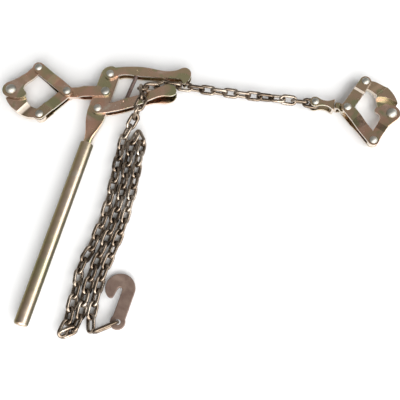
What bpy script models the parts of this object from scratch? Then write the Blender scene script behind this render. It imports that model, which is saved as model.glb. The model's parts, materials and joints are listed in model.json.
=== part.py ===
"""A chain strainer for fence wire, laid flat on a bench with its spare chain folded beside the handle.

Lengths are in millimetres until a mesh is made, which is in metres. +Z is up from the bench, +X runs
along the tight chain from the lever to the far wire grip, and the handle points towards -Y.
"""

import math

import bmesh
import bpy
from mathutils import Matrix, Vector

MM = 0.001
GAP = 0.3                   # air between pieces that touch
ORIGIN = (-0.06, 22.04, 0.0)  # the object's origin, under the middle of everything but the loose chain
CLEAR = 0.25                # air round a rivet in its hole

# Heights above the bench
MID_Z = 11.0                # middle plane of the lever head, the claws and the grips
TUBE_Z = 10.0               # centre of the handle tube

# Lever, in its own frame: origin beside the middle rivet, +y towards the head's end, x across
LEVER_AT = (-148.0, 177.0)
LEVER_LEAN = -15.4          # degrees, head leaning to +X
HEAD_THICK = 8.0
HEAD_HALF = 14.8
HEAD_CENTRE_X = -1.5
UPPER_PIVOT = (-1.2, 31.2)
DRAW_PIVOT = (1.0, 0.0)
LOWER_PIVOT = (-1.2, -31.2)
SHANK_R = 6.8
TUBE_R = 10.0
TUBE_BORE_R = 7.6
TUBE_TOP_Y = -90.0
TUBE_END_Y = -373.0

# Plates and rivets
CLAW_THICK = 3.0
STRAP_THICK = 2.6
RIVET_R = 4.0
DOME_R = 6.0
DOME_HIGH = 3.8
TAIL_R = 6.0
JAW_THICK = 5.0
STUD_R = 5.0
STUD_DOME_R = 8.2
STUD_DOME_HIGH = 6.2
SPRING_PIN_R = 2.0
UPPER_PIN = (42.5, 4.2)     # spring pin from the claw's pivot
LOWER_PIN = (39.5, 9.5)

# Wire grips: a parallelogram of two pairs of links and two jaws
LINK_LONG = 65.0            # swivel rivet to jaw rivet, and hook jaw rivet to jaw stud
LINK_SHORT = 55.5           # swivel rivet to hook jaw rivet, and cam jaw rivet to jaw stud
LINK_HALF = 8.0
INNER_LEVEL = 0.15          # lowest height above the middle plane of each layer at the swivel rivet
MIDDLE_LEVEL = 3.05
OUTER_LEVEL = 5.95
JAW_LEVEL = JAW_THICK / 2 + GAP
HOOK_END_HALF = 3.5         # half thickness of the curved jaw at its rivet
HOOK_END_LEVEL = 4.7
DRAW_LINK_LENGTH = 59.5
DRAW_LINK_ANGLE = 180.5
LEFT_LONG_ANGLE = 138.0     # degrees from +X of the long and the short links, from the swivel rivet
LEFT_SHORT_ANGLE = 224.4
RIGHT_LONG_ANGLE = -56.8
RIGHT_SHORT_ANGLE = 54.4

# Chain: short welded links
WIRE_R = 2.5
LINK_PITCH = 18.5
LINK_ARC_R = 6.0            # wire centre line round each end
LINK_END = (LINK_PITCH + 2 * WIRE_R) / 2    # link centre to the wire centre at its end
LINK_STEP = LINK_PITCH - GAP
SLACK_REACH = 5.4           # a slack link's end past the wire centre at the end of the one before
TAUT_START = (-41.9, 190.6)
TAUT_HEADINGS = (-9.5, -9.5, -9.3, -9.0, -8.6, -8.2, -8.0, -7.6, -7.3, -7.3, -8.2, -9.4, -10.4)
TAUT_ROLLS = (90, 0, 90, 0, 90, 0, 90, 0, 78, 156, 224, 292, 360)
HINGED_FROM = 3             # the first tight link that is outside the claws
TWISTED_LINKS = 5           # the last links, which share a full turn of twist
# Slack side, out of the claws and down to the folded chain: heading, climb and roll of each link
CLAW_RUN = ((202, 2, 13), (191, 23, 124), (257, 51, 9), (275, -2, 101), (247, -2, -4), (235, -63, -98))

# Swivel beyond the tight chain
FORK_PIN_AHEAD = 5.7        # fork rivet centre ahead of the last link's centre
FORK_LENGTH = 29.5          # fork rivet centre to the outer face of its web
FORK_ROUND_R = 8.2
FORK_GAP = 12.4             # between the fork's two cheeks
SWIVEL_R = 3.2
CLEVIS_AHEAD = 1.5          # air between the two webs
CLEVIS_TO_RIVET = 18.5      # outer face of the clevis web to the grip's rivet
WEB_THICK = 3.0

# Folded spare chain: three strands side by side, bottom to top as points along the middle strand
STRAND_STEP = 15.0
HANK_HIGH = 13.6

# Grab hook and its long link
HOOK_THICK = 5.0
HOOK_EYE = (-113.5, -177.5, 9.3)
HOOK_LEAN = -16.8           # degrees of the shank from +Y, to +X
HOOK_DROP = 5.4             # degrees that the bow lies lower than the eye
HOOK_SHANK = 46.0           # eye centre to bow centre, along the shank
HOOK_BOW_R = 21.3
HOOK_SLOT_HALF = 3.5
HOOK_SHANK_HALF = 8.8
HOOK_EYE_R = 10.8
HOOK_HOLE_R = 4.2
LONG_LINK_ANGLE = 203.3
LONG_LINK_END = 17.5

ROUND = 16                  # sides of a rivet


def clear_scene():
    for thing in list(bpy.data.objects):
        bpy.data.objects.remove(thing, do_unlink=True)


def material(name, color, roughness, metallic=1.0):
    made = bpy.data.materials.new(name)
    made.use_nodes = True
    shader = made.node_tree.nodes["Principled BSDF"]
    shader.inputs["Base Color"].default_value = (*color, 1.0)
    shader.inputs["Roughness"].default_value = roughness
    shader.inputs["Metallic"].default_value = metallic
    return made


# ---------------------------------------------------------------- points

def polar(radius, degrees, centre=(0.0, 0.0)):
    a = math.radians(degrees)
    return (centre[0] + radius * math.cos(a), centre[1] + radius * math.sin(a))


def arc(centre, radius, start, end, steps):
    return [polar(radius, start + (end - start) * i / steps, centre) for i in range(steps + 1)]


def turn(point, degrees):
    a = math.radians(degrees)
    x, y = point[0], point[1]
    return (x * math.cos(a) - y * math.sin(a), x * math.sin(a) + y * math.cos(a))


def shift(point, by):
    return (point[0] + by[0], point[1] + by[1])


def smooth(points, steps=4):
    """An open smooth curve through the points (Catmull-Rom)."""
    knots = [Vector(p) for p in points]
    knots = [2 * knots[0] - knots[1], *knots, 2 * knots[-1] - knots[-2]]
    out = []
    for a, b, c, d in zip(knots, knots[1:], knots[2:], knots[3:]):
        for i in range(steps):
            t = i / steps
            out.append(0.5 * (2 * b + (c - a) * t + (2 * a - 5 * b + 4 * c - d) * t ** 2
                              + (3 * b - a - 3 * c + d) * t ** 3))
    return [tuple(p) for p in out] + [tuple(knots[-2])]


def ribbon(centre_line, thick):
    """A closed outline of the given thickness whose lower side is the line given."""
    upper = []
    for i, p in enumerate(centre_line):
        before = centre_line[max(i - 1, 0)]
        after = centre_line[min(i + 1, len(centre_line) - 1)]
        slope = math.atan2(after[1] - before[1], after[0] - before[0])
        upper.append((p[0] - thick * math.sin(slope), p[1] + thick * math.cos(slope)))
    return list(centre_line) + upper[::-1]


def joggled(x_low, x_high, z_low, z_high, x_from, x_to):
    """A line that runs level, ramps between two heights and runs level again."""
    return [(x_low, z_low), (x_from, z_low), (x_to, z_high), (x_high, z_high)]


# ---------------------------------------------------------------- objects

def finish(mesh_work, name, look, at=(0, 0, 0), spin=Matrix.Identity(3)):
    bmesh.ops.recalc_face_normals(mesh_work, faces=mesh_work.faces)
    mesh = bpy.data.meshes.new(name)
    bmesh.ops.scale(mesh_work, vec=(MM, MM, MM), verts=mesh_work.verts)
    mesh_work.to_mesh(mesh)
    mesh_work.free()
    mesh.shade_smooth()
    mesh.set_sharp_from_angle(angle=math.radians(35))
    thing = bpy.data.objects.new(name, mesh)
    thing.location = (Vector(at) - Vector(ORIGIN)) * MM
    thing.rotation_euler = spin.to_euler()
    if look is not None:
        mesh.materials.append(look)
    bpy.context.collection.objects.link(thing)
    return thing


def prism(name, outline, low, high, look=None, at=(0, 0, 0), spin=Matrix.Identity(3), side=False):
    """An outline in x and y raised from low to high, or in x and z drawn along y where side is set."""
    work = bmesh.new()
    corners = [work.verts.new((p[0], low, p[1]) if side else (p[0], p[1], low)) for p in outline]
    base = work.faces.new(corners)
    raised = bmesh.ops.extrude_face_region(work, geom=[base])
    moved = [v for v in raised["geom"] if isinstance(v, bmesh.types.BMVert)]
    step = (0, high - low, 0) if side else (0, 0, high - low)
    bmesh.ops.translate(work, verts=moved, vec=step)
    return finish(work, name, look, at, spin)


def turned(name, profile, look=None, at=(0, 0, 0), spin=Matrix.Identity(3), sides=ROUND):
    """A profile of (radius, height) points turned about z. Its two ends are on the axis."""
    work = bmesh.new()
    rings = []
    for radius, height in profile:
        if radius == 0:
            rings.append([work.verts.new((0, 0, height))])
        else:
            rings.append([work.verts.new((*polar(radius, 360 * k / sides), height)) for k in range(sides)])
    for one, two in zip(rings, rings[1:]):
        for k in range(sides):
            m = (k + 1) % sides
            corners = [one[k % len(one)], one[m % len(one)], two[m % len(two)], two[k % len(two)]]
            work.faces.new(dict.fromkeys(corners))
    return finish(work, name, look, at, spin)


def swept(name, points, radii, look=None, at=(0, 0, 0), spin=Matrix.Identity(3), sides=6, closed=False):
    """A round bar along a line of points, with a radius at each, closed on itself or capped."""
    work = bmesh.new()
    line = [Vector(p) for p in points]
    count = len(line)
    side = None
    rings = []
    for i, p in enumerate(line):
        before = line[i - 1] if i or closed else line[i]
        after = line[(i + 1) % count] if i < count - 1 or closed else line[i]
        ahead = (after - before).normalized()
        if side is None:
            side = ahead.orthogonal().normalized()
        side = (side - ahead * side.dot(ahead)).normalized()
        up = ahead.cross(side)
        ring = []
        for k in range(sides):
            c, s = polar(radii[i], 360 * (k + 0.5) / sides)
            ring.append(work.verts.new(p + side * c + up * s))
        rings.append(ring)
    for i in range(count if closed else count - 1):
        one, two = rings[i], rings[(i + 1) % count]
        for k in range(sides):
            m = (k + 1) % sides
            work.faces.new((one[k], one[m], two[m], two[k]))
    if not closed:
        work.faces.new(rings[0][::-1])
        work.faces.new(rings[-1])
    return finish(work, name, look, at, spin)


def combine(thing, other, operation):
    """Cuts, joins or keeps what both share. The other object stays as a hidden guide."""
    other.hide_render = True
    other.display_type = "WIRE"
    modifier = thing.modifiers.new(operation.title(), "BOOLEAN")
    modifier.operation = operation
    modifier.solver = "EXACT"
    modifier.object = other
    return thing


def drill(thing, x, y, radius, sides=ROUND):
    """A round hole along the object's own z."""
    rod = turned(thing.name + "_hole", [(0, -60), (radius, -60), (radius, 60), (0, 60)], sides=sides)
    rod.location = thing.matrix_basis @ (Vector((x, y, 0)) * MM)
    rod.rotation_euler = thing.rotation_euler
    return combine(thing, rod, "DIFFERENCE")


def bent(name, outline, side_view, look, at, spin, across=60):
    """A strap: what an outline seen from above and one seen from the side have in common."""
    thing = prism(name, outline, -40, 40, look, at, spin)
    guide = prism(name + "_side", side_view, -across, across, None, at, spin, side=True)
    return combine(thing, guide, "INTERSECT")


def about_z(degrees):
    return Matrix.Rotation(math.radians(degrees), 3, "Z")


def rivet(name, look, at, levels, shank_r=RIVET_R, dome=(DOME_R, DOME_HIGH), tail=TAIL_R, sides=ROUND):
    """A domed rivet standing in z: levels are its tail's end, its tail's seat and its dome's seat."""
    tail_end, tail_seat, seat = levels
    radius, height = dome
    ball = (radius ** 2 + height ** 2) / (2 * height)
    cap = math.degrees(math.asin(radius / ball))
    top = [(ball * math.sin(math.radians(a)), seat + height - ball + ball * math.cos(math.radians(a)))
           for a in (cap, cap * 0.66, cap * 0.3)]
    profile = [(0, tail_end), (tail * 0.6, tail_end), (tail, tail_seat - 0.6), (tail, tail_seat),
               (shank_r, tail_seat), (shank_r, seat), *top, (0, seat + height)]
    return turned(name, profile, look, (at[0], at[1], 0), sides=sides)


# ---------------------------------------------------------------- lever

def lever_spot(point):
    return shift(turn(point, LEVER_LEAN), LEVER_AT)


def lever_sections():
    """(distance, left, right, half thickness, squareness, height) of the lever from its end to its foot."""
    out = []
    end_y = UPPER_PIVOT[1]
    for a in (86, 70, 52, 34, 16):
        half = HEAD_HALF * math.cos(math.radians(a))
        y = end_y + HEAD_HALF * math.sin(math.radians(a))
        out.append((y, HEAD_CENTRE_X - half, HEAD_CENTRE_X + half, HEAD_THICK / 2, 10, MID_Z))
    left, right = HEAD_CENTRE_X - HEAD_HALF, HEAD_CENTRE_X + HEAD_HALF
    out.append((end_y, left, right, HEAD_THICK / 2, 10, MID_Z))
    out.append((-38, left, right + 0.2, HEAD_THICK / 2, 10, MID_Z))
    out.append((-48, left + 1.4, right, HEAD_THICK / 2, 9, MID_Z))
    out.append((-57, left + 3.6, right - 1.4, 4.3, 6, MID_Z - 0.2))
    out.append((-66, left + 6.4, right - 3.2, 5.2, 4, MID_Z - 0.5))
    out.append((-74, -7.8, 8.4, 6.1, 2.6, TUBE_Z + 0.2))
    out.append((-82, -SHANK_R, SHANK_R + 0.4, SHANK_R - 0.1, 2, TUBE_Z))
    out.append((TUBE_TOP_Y - 45, -SHANK_R, SHANK_R, SHANK_R, 2, TUBE_Z))
    return out


def lever_head(look):
    """The forged head and shank, lofted from a flat plate to a round bar."""
    work = bmesh.new()
    count = 28
    rings = []
    for y, left, right, half, square, z in lever_sections():
        ring = []
        for k in range(count):
            c, s = polar(1, 360 * (k + 0.5) / count)
            x = math.copysign(abs(c) ** (2 / square), c) * (right - left) / 2 + (left + right) / 2
            ring.append(work.verts.new((x, y, z + math.copysign(abs(s) ** (2 / square), s) * half)))
        rings.append(ring)
    for one, two in zip(rings, rings[1:]):
        for k in range(count):
            m = (k + 1) % count
            work.faces.new((one[k], one[m], two[m], two[k]))
    work.faces.new(rings[0])
    work.faces.new(rings[-1][::-1])
    thing = finish(work, "lever_head", look, (*LEVER_AT, 0), about_z(LEVER_LEAN))
    for spot in (UPPER_PIVOT, DRAW_PIVOT, LOWER_PIVOT):
        drill(thing, *spot, RIVET_R + CLEAR)
    return thing


def handle_tube(look):
    """A pipe pressed over the shank, its lower end closed with a rounded cap."""
    long = TUBE_TOP_Y - TUBE_END_Y
    profile = [(0, 0), (TUBE_R - 3.2, 0), (TUBE_R - 1.2, 0.7), (TUBE_R, 2.8), (TUBE_R, long - 0.6),
               (TUBE_R - 0.6, long), (TUBE_BORE_R, long), (TUBE_BORE_R, 4), (0, 4)]
    x, y = lever_spot((0, TUBE_END_Y))
    spin = about_z(LEVER_LEAN) @ Matrix.Rotation(math.radians(-90), 3, "X")
    return turned("handle_tube", profile, look, (x, y, TUBE_Z), spin, sides=28)


def pivot_rivets(look):
    tail_seat = MID_Z - HEAD_THICK / 2 - 2 * GAP - CLAW_THICK
    seat = MID_Z + HEAD_THICK / 2 + 2 * GAP + CLAW_THICK
    for name, spot, thick in (("upper_claw_rivet", UPPER_PIVOT, CLAW_THICK),
                              ("draw_rivet", DRAW_PIVOT, STRAP_THICK),
                              ("lower_claw_rivet", LOWER_PIVOT, CLAW_THICK)):
        spare = CLAW_THICK - thick
        dome = (6.6, 3.0) if name == "draw_rivet" else (DOME_R, DOME_HIGH)
        rivet(name, look, lever_spot(spot), (0, tail_seat + spare, seat - spare), dome=dome)


# ---------------------------------------------------------------- claws and spring

def upper_claw_outline():
    """From the pivot, x towards the nose: the back, the hooked tip and the lower edge."""
    back = smooth([(3, 10.3), (16, 11.2), (32, 12), (50, 11.2), (64, 8.8), (80, 5), (93, 3.8), (104, 5.4),
                   (114, 9.8), (121, 9.2), (126, 4), (126.8, -4), (123, -12.5), (115.5, -19)])
    inside = smooth([(111.5, -11.2), (107, -9.3), (88, -8), (62, -6.2), (42, -4.2), (29, -2), (20, -2),
                     (12, -4.4), (6.5, -7)])
    return back + inside + arc((0, 0), 9.6, 292, 90, 14)


def lower_claw_outline(heel=False):
    """The lower claw's front plate, or its back one, which has a deeper heel under the nose."""
    back = smooth([(2, 9.3), (12, 8.2), (20, 8.6), (30, 11.8), (40, 15.6), (55, 20), (71, 24.8), (83, 30),
                   (96, 36.8), (105, 40.8), (112.5, 40.4), (118.5, 36), (121, 29)])
    if heel:
        nose = [(120.6, 24), (117, 18.4), (111.5, 14.8), (104.5, 13.2), (97, 13.4), (89, 13.7), (81, 12.6)]
    else:
        nose = [(119.6, 23.6), (115, 21), (109.5, 20.4), (101, 20.6), (92, 18.9), (81, 14.2)]
    front = smooth(nose + [(72, 9.7), (55, 2.8), (36, -3.4), (18, -7.2), (8, -8.8)])
    return back + front + arc((0, 0), 9.6, 280, 100, 12)


def claw(name, outlines, pivot, pin_at, look):
    low = MID_Z + HEAD_THICK / 2 + GAP
    for side, bottom, outline in (("front", low, outlines[0]),
                                  ("back", 2 * MID_Z - low - CLAW_THICK, outlines[1])):
        at = (*lever_spot(pivot), 0)
        plate = prism(f"{name}_{side}", outline, bottom, bottom + CLAW_THICK, look, at)
        drill(plate, 0, 0, RIVET_R + CLEAR)
        drill(plate, *pin_at, SPRING_PIN_R + CLEAR, sides=12)


def spring_pin(name, pivot, pin_at, look):
    """A pin across both plates of a claw, flush with their outer faces."""
    half = HEAD_THICK / 2 + GAP + CLAW_THICK
    x, y = shift(lever_spot(pivot), pin_at)
    r = SPRING_PIN_R
    turned(name, [(0, MID_Z - half), (r, MID_Z - half), (r, MID_Z + half), (0, MID_Z + half)], look,
           (x, y, 0), sides=12)


def claw_spring(look):
    """The tension spring as its outer shape: a round body between two hooked ends."""
    top = Vector((*shift(lever_spot(UPPER_PIVOT), UPPER_PIN), MID_Z))
    foot = Vector((*shift(lever_spot(LOWER_PIVOT), LOWER_PIN), MID_Z))
    along = (top - foot).normalized()
    across = along.cross(Vector((0, 0, 1)))
    hook_r = SPRING_PIN_R + 0.9
    points, radii = [], []
    for end, sense, spin in ((foot, 1, 1), (top, -1, -1)):
        hook = [end + along * sense * hook_r * math.cos(a) + across * hook_r * spin * math.sin(a)
                for a in (math.radians(d) for d in (-150, -190, -230, -270, -310, -345))]
        run = [hook[-1] + along * sense * step for step in (2.0, 4.0, 5.0)]
        centred = [p - across * (p - end).dot(across) * min(1, 0.5 * (i + 1)) for i, p in enumerate(run)]
        leg, sizes = hook + centred, [0.7] * (len(hook) + 2) + [3.1]
        points += leg if sense == 1 else leg[::-1]
        radii += sizes if sense == 1 else sizes[::-1]
    swept("claw_spring", points, radii, look, sides=10)


# ---------------------------------------------------------------- wire grips

def link_outline(length):
    return arc((0, 0), LINK_HALF + 0.8, 270, 90, 14) + arc((length, 0), LINK_HALF + 0.8, 90, -90, 14)


def strap_link(name, length, start_level, end_level, look, at, degrees, ramp, ends_r=RIVET_R):
    """A flat link on each side of the middle plane, joggled between two layers."""
    for side, sense in (("front", 1), ("back", -1)):
        low, high = start_level, end_level
        line = joggled(-12, length + 12, low, high, *ramp)
        outline = ribbon(line, STRAP_THICK)
        outline = [(x, MID_Z + sense * z) for x, z in outline]
        plate = bent(f"{name}_{side}", link_outline(length), outline, look, (*at, 0), about_z(degrees))
        drill(plate, 0, 0, ends_r + CLEAR)
        drill(plate, length, 0, ends_r + CLEAR)


def cam_jaw(name, look, at, degrees):
    """The straight jaw: origin at its rivet, x away from the jaw stud. Its cut edge faces the hook jaw."""
    def here(points):
        return [(x - LINK_SHORT, y) for x, y in points]

    arm_top = [(LINK_SHORT - 6, 8.2), (38, 7.2), (22, 7.4), (15, 9.5)]
    head = arc((0, 0), 13.6, 62, 205, 14)
    edge = [(-5.5, -16.6), (4.0, -23.8)]
    nose = arc((8.2, -18.9), 5.4, 262, 380, 8)
    arm_low = [(14.6, -12.6), (19, -9.6), (28, -8.6), (LINK_SHORT - 6, -8.2)]
    outline = arc((LINK_SHORT, 0), 8.6, -60, 60, 9) + arm_top + head + edge + nose + arm_low
    level, landed = MID_Z - JAW_THICK / 2, MID_Z + INNER_LEVEL
    line = joggled(-30, LINK_SHORT + 12, landed, level, 25, 33)
    jaw = bent(name, here(outline), here(ribbon(line, JAW_THICK)), look, (*at, 0), about_z(degrees), 90)
    drill(jaw, -LINK_SHORT, 0, STUD_R + CLEAR)
    drill(jaw, 0, 0, RIVET_R + CLEAR)


def hook_jaw(name, look, at, degrees):
    """The curved jaw: origin at its rivet, x towards the jaw stud, so that the stud is at LINK_LONG."""
    def here(points):
        return [(LINK_LONG - x, -y) for x, y in points]

    outer = smooth([(0, -13.2), (5, -15.2), (13, -19), (26, -21.4), (42, -20), (55, -15), (61, -10)])
    eye = arc((LINK_LONG, 0), 9.2, -70, 95, 10)
    inner = smooth([(58, 6.5), (51, 2.6), (43, 0.6), (35, 1.8), (28, 5.5), (18, 10.5), (9, 12.3)])
    outline = outer + eye + inner + arc((0, 0), 13.2, 80, 250, 14)
    floor, crest = MID_Z - INNER_LEVEL - JAW_THICK, MID_Z + 8.2
    low, high = MID_Z - HOOK_END_HALF, MID_Z + HOOK_END_HALF
    side = [(-16, floor), (24, floor), (44, low), (LINK_LONG + 12, low), (LINK_LONG + 12, high),
            (51, high), (46.5, high + 0.4), (43, high + 1.2), (40.3, high + 2.3), (38.3, high + 3.6),
            (36.8, crest), (-16, crest)]
    jaw = bent(name, here(outline), here([(x, -z) for x, z in side]), look, (*at, 0), about_z(degrees))
    landing = prism(name + "_landing", arc(here([(2, 18)])[0], 34.5, 0, 354, 59),
                    MID_Z - INNER_LEVEL, 40, None, (*at, 0), about_z(degrees))
    combine(jaw, landing, "DIFFERENCE")
    drill(jaw, 0, 0, RIVET_R + CLEAR)
    drill(jaw, LINK_LONG, 0, STUD_R + CLEAR)


def wire_grip(side, swivel_at, long_angle, short_angle, looks):
    """Two pairs of links from the swivel rivet and two jaws that meet at the jaw stud."""
    steel, rivet_look = looks
    cam_at = shift(swivel_at, polar(LINK_LONG, long_angle))
    hook_at = shift(swivel_at, polar(LINK_SHORT, short_angle))
    stud_at = shift(cam_at, polar(LINK_SHORT, short_angle))
    strap_link(f"{side}_long_link", LINK_LONG, OUTER_LEVEL, JAW_LEVEL, steel, swivel_at, long_angle,
               (22, 38))
    strap_link(f"{side}_short_link", LINK_SHORT, MIDDLE_LEVEL, HOOK_END_LEVEL, steel, swivel_at,
               short_angle, (34, 38))
    cam_jaw(f"{side}_cam_jaw", steel, cam_at, short_angle + 180)
    hook_jaw(f"{side}_hook_jaw", steel, hook_at, long_angle)
    outer = OUTER_LEVEL + STRAP_THICK + GAP
    rivet(f"{side}_swivel_rivet", rivet_look, swivel_at, (0, MID_Z - outer, MID_Z + outer))
    for role, spot, level in (("cam", cam_at, JAW_LEVEL), ("hook", hook_at, HOOK_END_LEVEL)):
        seat = level + STRAP_THICK + GAP
        rivet(f"{side}_{role}_rivet", rivet_look, spot, (MID_Z - seat - 2.6, MID_Z - seat, MID_Z + seat))
    stud_seat = JAW_THICK + INNER_LEVEL + GAP
    rivet(f"{side}_jaw_stud", rivet_look, stud_at,
          (MID_Z - stud_seat - 3, MID_Z - stud_seat, MID_Z + stud_seat), STUD_R,
          (STUD_DOME_R, STUD_DOME_HIGH), 8.0)


def draw_link_end():
    return shift(lever_spot(DRAW_PIVOT), polar(DRAW_LINK_LENGTH, DRAW_LINK_ANGLE))


def draw_links(look):
    """A plate on each side of the lever head that closes up to the middle at the grip's swivel rivet."""
    at_head = HEAD_THICK / 2 + GAP
    strap_link("draw_link", DRAW_LINK_LENGTH, at_head, INNER_LEVEL, look, lever_spot(DRAW_PIVOT),
               DRAW_LINK_ANGLE, (34, 44))


# ---------------------------------------------------------------- chain

def link_line(end=LINK_END, bend=LINK_ARC_R, steps=6):
    """The wire's centre line round one link, in x and y."""
    flat = end - bend
    right = arc((flat, 0), bend, -90, 90, steps)
    left = arc((-flat, 0), bend, 90, 270, steps)
    return [(x, y, 0) for x, y in right + left]


def aim(heading, climb, roll):
    spin = Matrix.Rotation(math.radians(heading), 3, "Z") @ Matrix.Rotation(math.radians(-climb), 3, "Y")
    return spin @ Matrix.Rotation(math.radians(roll), 3, "X")


def chain_link(name, look, centre, heading, climb, roll, pivot=(0, 0, 0)):
    """One link. The pivot, along the link from its centre, becomes the object's origin."""
    spin = aim(heading, climb, roll)
    points = [Vector(p) - Vector(pivot) for p in link_line()]
    at = Vector(centre) + spin @ Vector(pivot)
    return swept(name, points, [WIRE_R] * len(points), look, at, spin, sides=6, closed=True)


def ahead(heading, climb=0):
    return aim(heading, climb, 0) @ Vector((1, 0, 0))


def is_twisted(i):
    """Whether tight link i, counted from 0, lies between upright and flat."""
    return i >= len(TAUT_ROLLS) - TWISTED_LINKS


def taut_spots():
    """Centre, heading and roll of each tight link, from the claws to the fork."""
    centre = Vector((*TAUT_START, MID_Z))
    out = [(centre, TAUT_HEADINGS[0], TAUT_ROLLS[0])]
    for i in range(1, len(TAUT_HEADINGS)):
        step = twisted_step(i) if is_twisted(i) else LINK_STEP
        centre = centre + (ahead(TAUT_HEADINGS[i - 1]) + ahead(TAUT_HEADINGS[i])) * step / 2
        out.append((centre, TAUT_HEADINGS[i], TAUT_ROLLS[i]))
    return out


def twisted_step(i):
    """From link i - 1 to twisted link i. Ends that cross at less than a right angle must reach further in."""
    lean = 1 - math.cos(math.radians(TAUT_ROLLS[i] - TAUT_ROLLS[i - 1]))
    depth, apart = LINK_ARC_R * lean, 2 * WIRE_R + GAP
    k = 1 / (1 - lean / 2)
    a, b, c = 1 - k, 2 * k * depth, -k * depth ** 2 - apart ** 2
    reach = (-b + math.sqrt(b * b - 4 * a * c)) / (2 * a)
    return 2 * LINK_END - reach


def link_pivot(i):
    """Where tight link i turns on the one before: the upright wire of whichever of the two stands on edge."""
    if is_twisted(i):
        return -twisted_step(i) / 2
    return -LINK_END if TAUT_ROLLS[i] == 90 else LINK_END - LINK_STEP


def taut_chain(look):
    for i, (centre, heading, roll) in enumerate(taut_spots(), 1):
        pivot = (link_pivot(i - 1), 0, 0) if i >= HINGED_FROM else (0, 0, 0)
        chain_link(f"tight_link_{i:02d}", look, centre, heading, 0, roll, pivot)


def claw_chain(look):
    """The slack side: links that leave the claws, lie over the lower claw and go down to the bench."""
    centre, before = taut_spots()[0][0], ahead(TAUT_HEADINGS[0] + 180)
    for i, (heading, climb, roll) in enumerate(CLAW_RUN, 1):
        after = ahead(heading, climb)
        centre = centre + before * LINK_END + after * (LINK_END - SLACK_REACH)
        chain_link(f"slack_link_{i}", look, centre, heading, climb, roll)
        before = after


def middle_strand():
    """The folded chain's middle line, from its upper end to its foot."""
    return smooth([(-101, 104), (-105, 84), (-109.5, 56), (-116, 14), (-126, -30), (-140, -72),
                   (-150, -98), (-157, -124), (-163, -152), (-168.5, -182)], 2)


def folded_chain(look):
    """The outer shape of three strands laid side by side; the left fold strays out at the foot."""
    line = middle_strand()
    half = 1.5 * STRAND_STEP - 0.6
    left, right = [], []
    for i, p in enumerate(line):
        before, after = line[max(i - 1, 0)], line[min(i + 1, len(line) - 1)]
        across = math.degrees(math.atan2(after[1] - before[1], after[0] - before[0])) + 90
        right.append(shift(p, polar(half, across)))
        left.append(shift(p, polar(-half, across)))
    stray_fold = [(-193.5, -191), (-190.5, -199), (-184, -198)]
    prism("folded_chain", left + stray_fold + right[::-1], 0, HANK_HIGH, look)


# ---------------------------------------------------------------- swivel

def swivel_frame():
    """The fork rivet's place and the direction of the swivel's axis."""
    centre, heading, _ = taut_spots()[-1]
    return shift(centre, polar(FORK_PIN_AHEAD, heading)), heading


def fork_outline():
    """Seen from above: a round end, a waist and a fishtail, x along the swivel's axis."""
    upper = smooth([(6, 6.0), (10.5, 4.6), (15, 4.1), (20, 4.7), (25, 7.0), (FORK_LENGTH + 0.5, 9.8)], 3)
    lower = [(x, -y) for x, y in upper[::-1]]
    return upper + lower + arc((0, 0), FORK_ROUND_R, -60, -300, 16)


def chain_fork(look):
    """A strap bent into a U whose web takes the swivel pin."""
    at, heading = swivel_frame()
    inside, outside = FORK_GAP / 2, FORK_GAP / 2 + STRAP_THICK
    side = [(-12, MID_Z + inside), (FORK_LENGTH - WEB_THICK - 1.5, MID_Z + inside),
            (FORK_LENGTH - WEB_THICK, MID_Z + inside - 1.5), (FORK_LENGTH - WEB_THICK, MID_Z - inside + 1.5),
            (FORK_LENGTH - WEB_THICK - 1.5, MID_Z - inside), (-12, MID_Z - inside),
            (-12, MID_Z - outside), (FORK_LENGTH - 2, MID_Z - outside), (FORK_LENGTH, MID_Z - outside + 2),
            (FORK_LENGTH, MID_Z + outside - 2), (FORK_LENGTH - 2, MID_Z + outside), (-12, MID_Z + outside)]
    fork = bent("chain_fork", fork_outline(), side, look, (*at, 0), about_z(heading))
    drill(fork, 0, 0, 3.2 + CLEAR)
    bore_along(fork, at, heading, FORK_LENGTH - WEB_THICK - 2, FORK_LENGTH + 2)


def bore_along(thing, at, heading, start, end):
    """The swivel pin's hole through a web."""
    rod = turned(thing.name + "_bore", [(0, start), (SWIVEL_R + CLEAR, start), (SWIVEL_R + CLEAR, end), (0, end)],
                 None, (*at, MID_Z), about_z(heading) @ Matrix.Rotation(math.radians(90), 3, "Y"), sides=16)
    combine(thing, rod, "DIFFERENCE")


def fork_rivet(look):
    at, _ = swivel_frame()
    seat = FORK_GAP / 2 + STRAP_THICK + GAP
    rivet("fork_rivet", look, at, (0.2, MID_Z - seat, MID_Z + seat), 3.2, (5.6, 3.6), 5.0)


def swivel_pin(look):
    at, heading = swivel_frame()
    web_in, web_out = FORK_LENGTH - WEB_THICK, FORK_LENGTH + CLEVIS_AHEAD + WEB_THICK
    profile = [(0, web_in - 3.0), (3.2, web_in - 3.0), (4.3, web_in - 2.0), (4.3, web_in - GAP),
               (SWIVEL_R, web_in - GAP), (SWIVEL_R, web_out + GAP), (3.9, web_out + GAP),
               (3.9, web_out + 1.0), (2.8, web_out + 1.8), (0, web_out + 1.8)]
    turned("swivel_pin", profile, look, (*at, MID_Z),
           about_z(heading) @ Matrix.Rotation(math.radians(90), 3, "Y"), sides=16)


def right_swivel_at():
    """The right grip's swivel rivet, on the swivel's axis."""
    at, heading = swivel_frame()
    return shift(at, polar(CLEVIS_TO_RIVET + FORK_LENGTH + CLEVIS_AHEAD, heading))


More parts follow.
